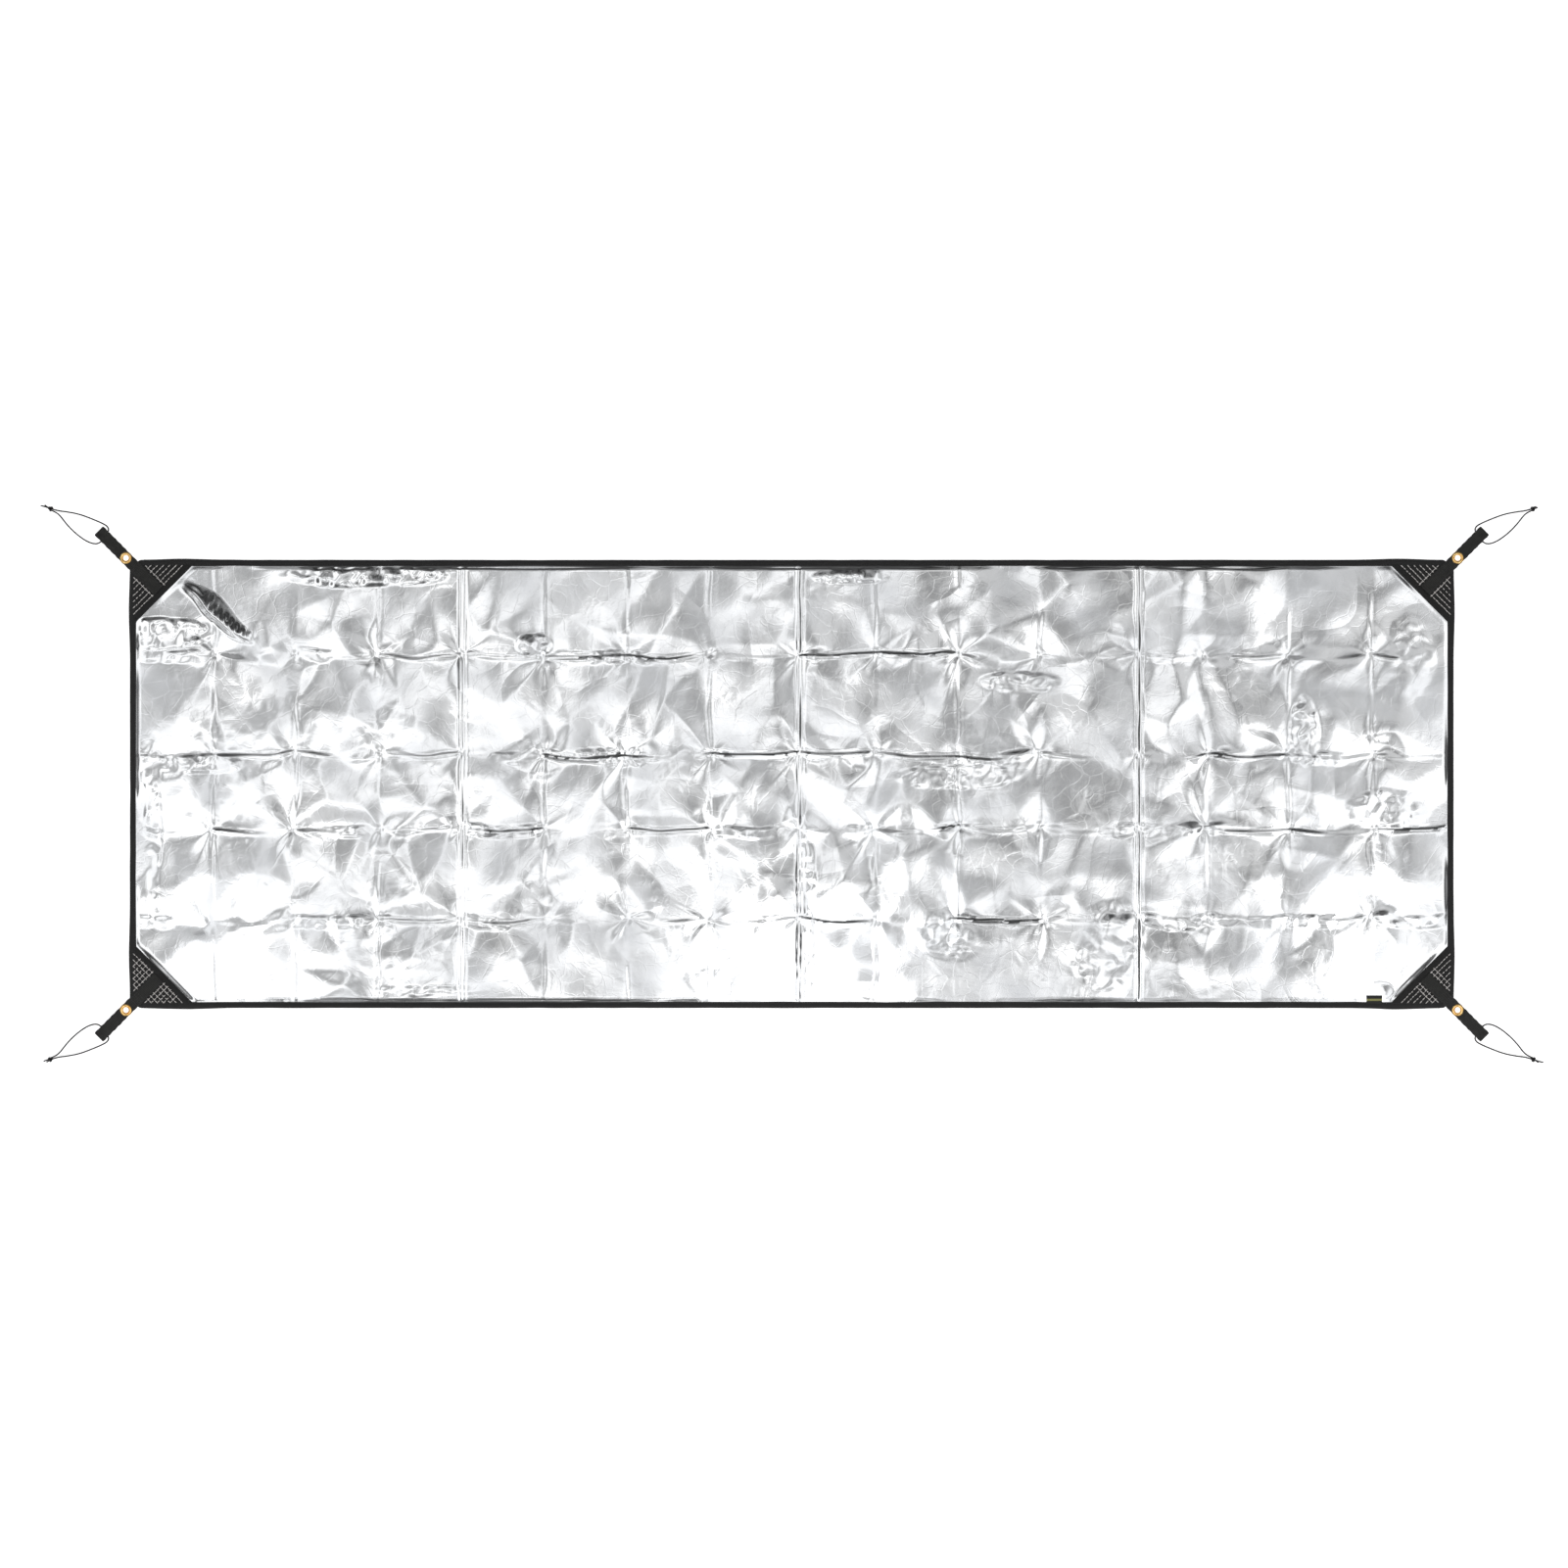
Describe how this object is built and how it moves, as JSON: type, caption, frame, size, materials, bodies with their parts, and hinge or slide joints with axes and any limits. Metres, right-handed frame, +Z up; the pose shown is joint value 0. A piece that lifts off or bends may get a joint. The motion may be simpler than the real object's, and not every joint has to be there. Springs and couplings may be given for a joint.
{
  "type": "foam sleeping pad",
  "caption": "Long thin foil-faced foam sleeping pad with black bound edges, folding in panels, and a grommeted corner strap with a knotted cord loop at each corner.",
  "frame": {"origin": "middle of the underside, on the ground", "axes": "+X along the length to the right end, +Y across to the back edge, +Z up through the foil face"},
  "size_m": [2.2159, 0.8243, 0.0062],
  "materials": {
    "film": "polished",
    "foam": "matte",
    "backing": "matte",
    "binding": "matte",
    "patch": "satin",
    "webbing": "satin",
    "brass": "polished",
    "cord": "matte",
    "thread": "satin",
    "label": "satin"
  },
  "bodies": {
    "left_end_panel": {"film_left_end": "film", "foam_left_end": "foam", "backing_left_end": "backing", "binding_back_left_end": "binding", "binding_front_left_end": "binding", "binding_left_edge": "binding", "patch_back_left": "patch", "strap_back_left": "webbing", "stitching_back_left": "thread", "patch_front_left": "patch", "strap_front_left": "webbing", "stitching_front_left": "thread"},
    "left_middle_panel": {"film_left_middle": "film", "foam_left_middle": "foam", "backing_left_middle": "backing", "binding_back_left_middle": "binding", "binding_front_left_middle": "binding"},
    "right_middle_panel": {"film_right_middle": "film", "foam_right_middle": "foam", "backing_right_middle": "backing", "binding_back_right_middle": "binding", "binding_front_right_middle": "binding"},
    "right_end_panel": {"film_right_end": "film", "foam_right_end": "foam", "backing_right_end": "backing", "binding_back_right_end": "binding", "binding_front_right_end": "binding", "binding_right_edge": "binding", "patch_back_right": "patch", "strap_back_right": "webbing", "stitching_back_right": "thread", "patch_front_right": "patch", "strap_front_right": "webbing", "stitching_front_right": "thread", "label": "label"},
    "back_left_tab": {"tab_back_left": "webbing", "eyelet_back_left": "brass", "washer_back_left": "brass"},
    "back_left_loop": {"cord_back_left": "cord", "knot_back_left": "cord"},
    "front_left_tab": {"tab_front_left": "webbing", "eyelet_front_left": "brass", "washer_front_left": "brass"},
    "front_left_loop": {"cord_front_left": "cord", "knot_front_left": "cord"},
    "back_right_tab": {"tab_back_right": "webbing", "eyelet_back_right": "brass", "washer_back_right": "brass"},
    "back_right_loop": {"cord_back_right": "cord", "knot_back_right": "cord"},
    "front_right_tab": {"tab_front_right": "webbing", "eyelet_front_right": "brass", "washer_front_right": "brass"},
    "front_right_loop": {"cord_front_right": "cord", "knot_front_right": "cord"}
  },
  "joints": [
    {"name": "fold_left", "type": "hinge", "parent": "left_middle_panel", "child": "left_end_panel", "pos_m": [-0.4875, 0, 0.0096], "axis": [0, 1, 0], "range_deg": [0, 178]},
    {"name": "fold_middle", "type": "hinge", "parent": "left_middle_panel", "child": "right_middle_panel", "pos_m": [0.00975, 0, -0.002], "axis": [0, 1, 0], "range_deg": [0, 178]},
    {"name": "fold_right", "type": "hinge", "parent": "right_middle_panel", "child": "right_end_panel", "pos_m": [0.50895, 0, 0.0096], "axis": [0, -1, 0], "range_deg": [0, 178]},
    {"name": "back_left_tab_flex", "type": "hinge", "parent": "left_end_panel", "child": "back_left_tab", "pos_m": [-0.97202, 0.32422, 0.0047], "axis": [-0.7071, -0.7071, 0], "range_deg": [-120, 90]},
    {"name": "back_left_loop_swing", "type": "hinge", "parent": "back_left_tab", "child": "back_left_loop", "pos_m": [-1.01239, 0.36459, 0.00265], "axis": [0.5786, 0.8156, 0], "range_deg": [-120, 120]},
    {"name": "front_left_tab_flex", "type": "hinge", "parent": "left_end_panel", "child": "front_left_tab", "pos_m": [-0.97202, -0.32422, 0.0047], "axis": [0.7071, -0.7071, 0], "range_deg": [-120, 90]},
    {"name": "front_left_loop_swing", "type": "hinge", "parent": "front_left_tab", "child": "front_left_loop", "pos_m": [-1.01239, -0.36459, 0.00265], "axis": [-0.5786, 0.8156, 0], "range_deg": [-120, 120]},
    {"name": "back_right_tab_flex", "type": "hinge", "parent": "right_end_panel", "child": "back_right_tab", "pos_m": [0.97202, 0.32422, 0.0047], "axis": [-0.7071, 0.7071, 0], "range_deg": [-120, 90]},
    {"name": "back_right_loop_swing", "type": "hinge", "parent": "back_right_tab", "child": "back_right_loop", "pos_m": [1.01239, 0.36459, 0.00265], "axis": [0.5786, -0.8156, 0], "range_deg": [-120, 120]},
    {"name": "front_right_tab_flex", "type": "hinge", "parent": "right_end_panel", "child": "front_right_tab", "pos_m": [0.97202, -0.32422, 0.0047], "axis": [0.7071, 0.7071, 0], "range_deg": [-120, 90]},
    {"name": "front_right_loop_swing", "type": "hinge", "parent": "front_right_tab", "child": "front_right_loop", "pos_m": [1.01239, -0.36459, 0.00265], "axis": [-0.5786, -0.8156, 0], "range_deg": [-120, 120]}
  ]
}
